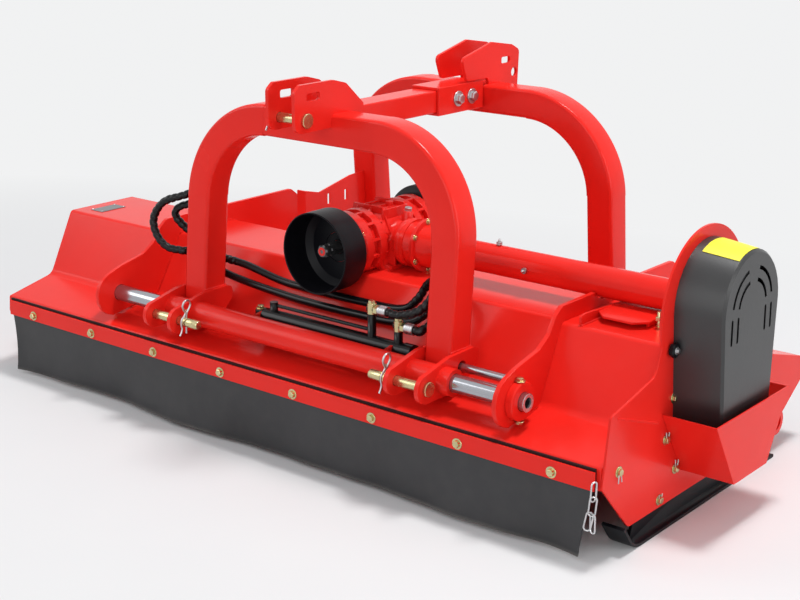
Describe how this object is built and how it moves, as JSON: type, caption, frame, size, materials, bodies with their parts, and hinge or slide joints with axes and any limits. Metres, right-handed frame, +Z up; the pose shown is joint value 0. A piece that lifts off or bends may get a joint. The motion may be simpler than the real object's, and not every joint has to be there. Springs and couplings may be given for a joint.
{
  "type": "tractor mulcher",
  "caption": "Flail mulcher for a three-point hitch: sloped red housing with flap, skids, roller, hammer rotor and covered belt drive, and a side-shift linkage of two arches on chrome bars.",
  "frame": {"origin": "middle of the machine's bounding box, on the ground", "axes": "+X along the housing towards the belt cover, -Y towards the rubber flap and the front hitch ears, +Z up"},
  "size_m": [2.2022, 1.0748, 0.9806],
  "materials": {
    "red_paint": "glossy red paint over steel",
    "black_paint": "satin black paint over steel",
    "rubber": "matt black rubber",
    "hose_rubber": "black rubber hose with a spiral wrap",
    "guard_plastic": "black moulded plastic",
    "chrome": "bright hard chrome",
    "steel": "bare or bright plated steel",
    "yellow_zinc": "yellow zinc plated steel",
    "forged_steel": "dark forged and turned steel"
  },
  "bodies": {
    "housing": {"shell": "red_paint", "side_plate_left": "red_paint", "side_plate_right": "red_paint", "flap_band": "rubber", "front_strip": "red_paint", "slide_bar_front": "chrome", "slide_bar_rear": "chrome", "bar_bracket_left": "red_paint", "bar_bracket_right": "red_paint", "cylinder_rod": "chrome", "gearbox": "red_paint", "pto_guard_front": "guard_plastic", "pto_guard_rear": "guard_plastic", "drive_tube": "red_paint", "belts": "rubber", "belt_cover": "black_paint", "tray": "red_paint", "tension_bracket": "red_paint", "rotor_bearing_left": "red_paint", "rotor_bearing_right": "forged_steel", "counter_blade": "forged_steel", "roller_arm_left": "red_paint", "roller_arm_right": "red_paint", "skid_left": "black_paint", "skid_right": "black_paint", "hook": "steel", "data_plate": "steel"},
    "linkage": {"arch_front": "red_paint", "arch_rear": "red_paint", "sleeve_front": "red_paint", "sleeve_rear": "red_paint", "top_beam": "red_paint", "clamp_sleeve": "red_paint", "guide_plate": "red_paint", "cylinder_barrel": "black_paint", "hose_a": "hose_rubber", "hose_b": "hose_rubber", "hose_holder": "steel", "lower_pin_left": "yellow_zinc", "lower_pin_right": "yellow_zinc", "top_pin": "yellow_zinc"},
    "rotor": {"rotor": "forged_steel", "lower_pulley": "forged_steel"},
    "drive": {"drive_shaft": "steel", "upper_pulley": "forged_steel"},
    "pto": {"pto_shaft": "steel"},
    "roller": {"roller": "red_paint"},
    "flap": {"flap": "rubber"},
    "hammer_01": {"hammer_01": "forged_steel"},
    "hammer_02": {"hammer_02": "forged_steel"},
    "hammer_03": {"hammer_03": "forged_steel"},
    "hammer_04": {"hammer_04": "forged_steel"},
    "hammer_05": {"hammer_05": "forged_steel"},
    "hammer_06": {"hammer_06": "forged_steel"},
    "hammer_07": {"hammer_07": "forged_steel"},
    "hammer_08": {"hammer_08": "forged_steel"},
    "hammer_09": {"hammer_09": "forged_steel"},
    "hammer_10": {"hammer_10": "forged_steel"},
    "hammer_11": {"hammer_11": "forged_steel"},
    "hammer_12": {"hammer_12": "forged_steel"}
  },
  "joints": [
    {"name": "side_shift", "type": "slide", "parent": "housing", "child": "linkage", "axis": [1, 0, 0], "range_m": [-0.18, 0.15]},
    {"name": "rotor_spin", "type": "hinge", "parent": "housing", "child": "rotor", "pos_m": [-0.0575, -0.0775, 0.235], "axis": [1, 0, 0], "continuous": true},
    {"name": "drive_spin", "type": "hinge", "parent": "housing", "child": "drive", "pos_m": [-0.0145, -0.0775, 0.494], "axis": [1, 0, 0], "continuous": true},
    {"name": "pto_spin", "type": "hinge", "parent": "housing", "child": "pto", "pos_m": [-0.0145, -0.0775, 0.494], "axis": [0, 1, 0], "continuous": true},
    {"name": "roller_spin", "type": "hinge", "parent": "housing", "child": "roller", "pos_m": [-0.0575, 0.3625, 0.07], "axis": [1, 0, 0], "continuous": true},
    {"name": "flap_swing", "type": "hinge", "parent": "housing", "child": "flap", "pos_m": [-0.0575, -0.5008, 0.168], "axis": [1, 0, 0], "range_deg": [-5, 60]},
    {"name": "hammer_01_swing", "type": "hinge", "parent": "rotor", "child": "hammer_01", "pos_m": [-0.9265, -0.0775, 0.151], "axis": [1, 0, 0], "range_deg": [-121, 121]},
    {"name": "hammer_02_swing", "type": "hinge", "parent": "rotor", "child": "hammer_02", "pos_m": [-0.7685, -0.00475, 0.277], "axis": [1, 0, 0], "range_deg": [-1, 241]},
    {"name": "hammer_03_swing", "type": "hinge", "parent": "rotor", "child": "hammer_03", "pos_m": [-0.6105, -0.15025, 0.277], "axis": [1, 0, 0], "range_deg": [-241, 1]},
    {"name": "hammer_04_swing", "type": "hinge", "parent": "rotor", "child": "hammer_04", "pos_m": [-0.4525, -0.0775, 0.151], "axis": [1, 0, 0], "range_deg": [-121, 121]},
    {"name": "hammer_05_swing", "type": "hinge", "parent": "rotor", "child": "hammer_05", "pos_m": [-0.2945, -0.00475, 0.277], "axis": [1, 0, 0], "range_deg": [-1, 241]},
    {"name": "hammer_06_swing", "type": "hinge", "parent": "rotor", "child": "hammer_06", "pos_m": [-0.1365, -0.15025, 0.277], "axis": [1, 0, 0], "range_deg": [-241, 1]},
    {"name": "hammer_07_swing", "type": "hinge", "parent": "rotor", "child": "hammer_07", "pos_m": [0.0215, -0.0775, 0.151], "axis": [1, 0, 0], "range_deg": [-121, 121]},
    {"name": "hammer_08_swing", "type": "hinge", "parent": "rotor", "child": "hammer_08", "pos_m": [0.1795, -0.00475, 0.277], "axis": [1, 0, 0], "range_deg": [-1, 241]},
    {"name": "hammer_09_swing", "type": "hinge", "parent": "rotor", "child": "hammer_09", "pos_m": [0.3375, -0.15025, 0.277], "axis": [1, 0, 0], "range_deg": [-241, 1]},
    {"name": "hammer_10_swing", "type": "hinge", "parent": "rotor", "child": "hammer_10", "pos_m": [0.4955, -0.0775, 0.151], "axis": [1, 0, 0], "range_deg": [-121, 121]},
    {"name": "hammer_11_swing", "type": "hinge", "parent": "rotor", "child": "hammer_11", "pos_m": [0.6535, -0.00475, 0.277], "axis": [1, 0, 0], "range_deg": [-1, 241]},
    {"name": "hammer_12_swing", "type": "hinge", "parent": "rotor", "child": "hammer_12", "pos_m": [0.8115, -0.15025, 0.277], "axis": [1, 0, 0], "range_deg": [-241, 1]}
  ],
  "couplings": [
    {"joint": "drive_spin", "follows": "rotor_spin", "ratio": 0.82105},
    {"joint": "pto_spin", "follows": "rotor_spin", "ratio": 0.27368}
  ]
}
